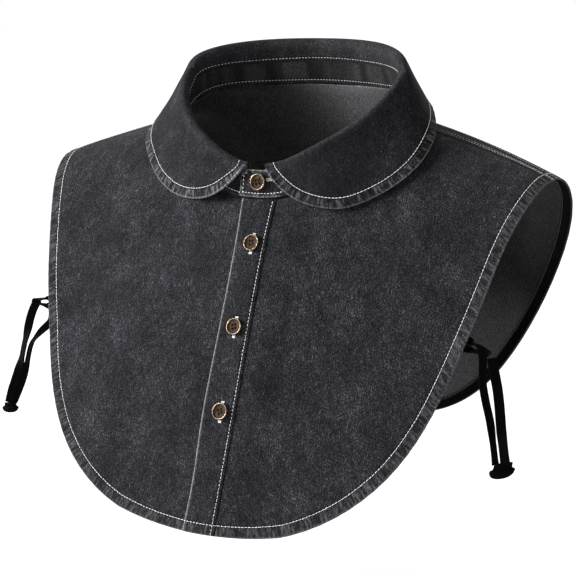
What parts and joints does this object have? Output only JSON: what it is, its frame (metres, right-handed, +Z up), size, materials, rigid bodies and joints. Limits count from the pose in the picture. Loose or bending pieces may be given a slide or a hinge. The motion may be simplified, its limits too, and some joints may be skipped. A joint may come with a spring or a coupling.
{
  "type": "detachable shirt collar",
  "caption": "Detachable denim shirt collar with a round club collar, a buttoned front bib, a back bib and tape ties at both sides, filled out as worn.",
  "frame": {"origin": "middle of the neck base, level with the inner ends of the two shoulder seams, where the wearer's neck and shoulders hold it", "axes": "+Z up along the wearer's neck, +X towards the wearer's left, -Y to the front"},
  "size_m": [0.3972, 0.2261, 0.309],
  "materials": {
    "washed_black_denim": "washed matte twill",
    "collar_denim": "washed matte twill, pressed",
    "black_facing": "matte",
    "black_tape": "matte, finely ribbed",
    "aged_brass": "aged satin"
  },
  "bodies": {
    "root": {"front_left": "washed_black_denim", "front_right": "washed_black_denim", "back": "washed_black_denim", "placket": "washed_black_denim", "back_facing": "black_facing", "neckband": "collar_denim", "collar_leaf": "collar_denim", "button_1": "aged_brass", "button_2": "aged_brass", "button_3": "aged_brass", "button_4": "aged_brass", "side_loop_left": "black_tape", "side_loop_right": "black_tape", "tie_left_rear": "black_tape", "tie_left_fore": "black_tape", "tie_right_fore": "black_tape", "tie_right_rear": "black_tape", "tie_end_left": "black_tape", "tie_end_right": "black_tape"}
  },
  "joints": []
}
